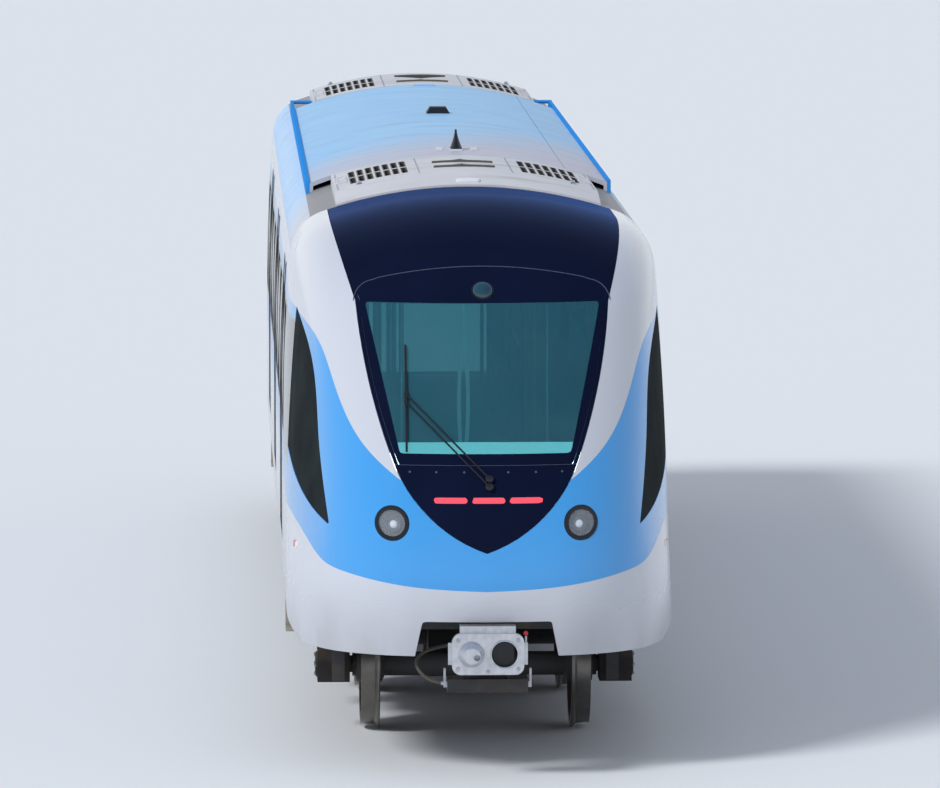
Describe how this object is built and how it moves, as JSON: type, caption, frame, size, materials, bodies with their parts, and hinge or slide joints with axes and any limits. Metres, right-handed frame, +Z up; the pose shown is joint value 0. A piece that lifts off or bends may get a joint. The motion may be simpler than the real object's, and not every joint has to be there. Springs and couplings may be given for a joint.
{
  "type": "front car of a driverless metro train",
  "caption": "Metro end car with a raked glazed nose, plug doors, roof air conditioners, open gangway, swinging coupler and turning bogies.",
  "frame": {"origin": "centre of the car's plan at the bottom of its wheel flanges", "axes": "+Y to the rear (the nose faces -Y), +X across to the right seen from ahead, +Z up"},
  "size_m": [2.69, 18.15, 4.02],
  "materials": {
    "body_blue": "gloss coach enamel, sky blue",
    "body_silver": "gloss coach enamel, pale silver",
    "mask_navy": "deep navy lacquer on moulded panel",
    "screen_glass": "tinted laminated safety glass",
    "side_glass": "dark tinted safety glass",
    "lamp_lens": "clear polycarbonate lens over reflector",
    "tail_red": "red polycarbonate light bar",
    "wiper_black": "satin black powder coat",
    "roof_grey": "satin roof enamel, grey and light blue",
    "cooler_shell": "satin off-white enamel on sheet steel",
    "gutter_blue": "gloss bright blue enamel",
    "bellows_rubber": "coated fabric and rubber folds",
    "frame_grey": "dark grey chassis paint",
    "floor_cover": "speckled rubber floor sheet",
    "lining_white": "pale moulded lining",
    "seat_blue": "moulded seat shells with blue pads",
    "steel_bright": "machined steel, worn bright",
    "wheel_steel": "forged wheel steel, brown with brake dust",
    "shoe_white": "insulator and sliding shoe",
    "leaf_blue": "gloss coach enamel on door leaves",
    "lens_clear": "clear polycarbonate lamp lens",
    "aerial_black": "black moulded aerial housing",
    "hose_rubber": "black rubber air hose"
  },
  "bodies": {
    "carbody": {"nose_shell": "body_blue", "nose_mask": "mask_navy", "windscreen": "screen_glass", "quarter_windows": "side_glass", "headlamps": "lamp_lens", "tail_bars": "tail_red", "wiper": "wiper_black", "camera_dome": "lamp_lens", "side_wall_left": "body_silver", "side_wall_right": "body_silver", "door_leaves_left": "leaf_blue", "door_leaves_right": "leaf_blue", "side_windows": "side_glass", "door_glass": "side_glass", "roof_shell": "roof_grey", "end_wall": "body_silver", "skirts": "body_silver", "floor": "floor_cover", "ceiling": "lining_white", "front_shelf": "lining_white", "seats": "seat_blue", "grab_poles": "steel_bright", "roof_fairing": "roof_grey", "air_conditioner_front": "cooler_shell", "air_conditioner_rear": "cooler_shell", "gutters": "gutter_blue", "gangway_bellows": "bellows_rubber", "underframe": "frame_grey", "equipment_cases": "frame_grey", "coupler_pockets": "frame_grey", "lamp_lenses": "lens_clear", "marker_lamps": "tail_red", "roof_aerials": "aerial_black"},
    "coupler": {"coupler_shank": "frame_grey", "coupler_head": "steel_bright", "coupler_case": "frame_grey", "coupler_latches": "steel_bright", "coupler_hose": "hose_rubber"},
    "drawbar_arm": {"drawbar": "frame_grey"},
    "bogie_front": {"bogie_frame_front": "frame_grey", "axle_boxes_front": "frame_grey", "air_springs_front": "bellows_rubber", "motors_front": "frame_grey", "collector_shoes_front": "shoe_white", "brake_units_front": "frame_grey"},
    "bogie_rear": {"bogie_frame_rear": "frame_grey", "axle_boxes_rear": "frame_grey", "air_springs_rear": "bellows_rubber", "motors_rear": "frame_grey", "collector_shoes_rear": "shoe_white", "brake_units_rear": "frame_grey"},
    "axle_1": {"wheelset_1": "wheel_steel"},
    "axle_2": {"wheelset_2": "wheel_steel"},
    "axle_3": {"wheelset_3": "wheel_steel"},
    "axle_4": {"wheelset_4": "wheel_steel"}
  },
  "joints": [
    {"name": "coupler_swing", "type": "hinge", "parent": "carbody", "child": "coupler", "pos_m": [0, -7.755, 0.878], "axis": [0, 0, 1], "range_deg": [-8, 8]},
    {"name": "drawbar_swing", "type": "hinge", "parent": "carbody", "child": "drawbar_arm", "pos_m": [0, 7.845, 0.878], "axis": [0, 0, 1], "range_deg": [-8, 8]},
    {"name": "bogie_front_yaw", "type": "hinge", "parent": "carbody", "child": "bogie_front", "pos_m": [0, -5.155, 0.6], "axis": [0, 0, 1], "range_deg": [-4, 4]},
    {"name": "axle_1_roll", "type": "hinge", "parent": "bogie_front", "child": "axle_1", "pos_m": [0, -6.205, 0.458], "axis": [1, 0, 0], "continuous": true},
    {"name": "axle_2_roll", "type": "hinge", "parent": "bogie_front", "child": "axle_2", "pos_m": [0, -4.105, 0.458], "axis": [1, 0, 0], "continuous": true},
    {"name": "bogie_rear_yaw", "type": "hinge", "parent": "carbody", "child": "bogie_rear", "pos_m": [0, 6.245, 0.6], "axis": [0, 0, 1], "range_deg": [-4, 4]},
    {"name": "axle_3_roll", "type": "hinge", "parent": "bogie_rear", "child": "axle_3", "pos_m": [0, 5.195, 0.458], "axis": [1, 0, 0], "continuous": true},
    {"name": "axle_4_roll", "type": "hinge", "parent": "bogie_rear", "child": "axle_4", "pos_m": [0, 7.295, 0.458], "axis": [1, 0, 0], "continuous": true}
  ]
}
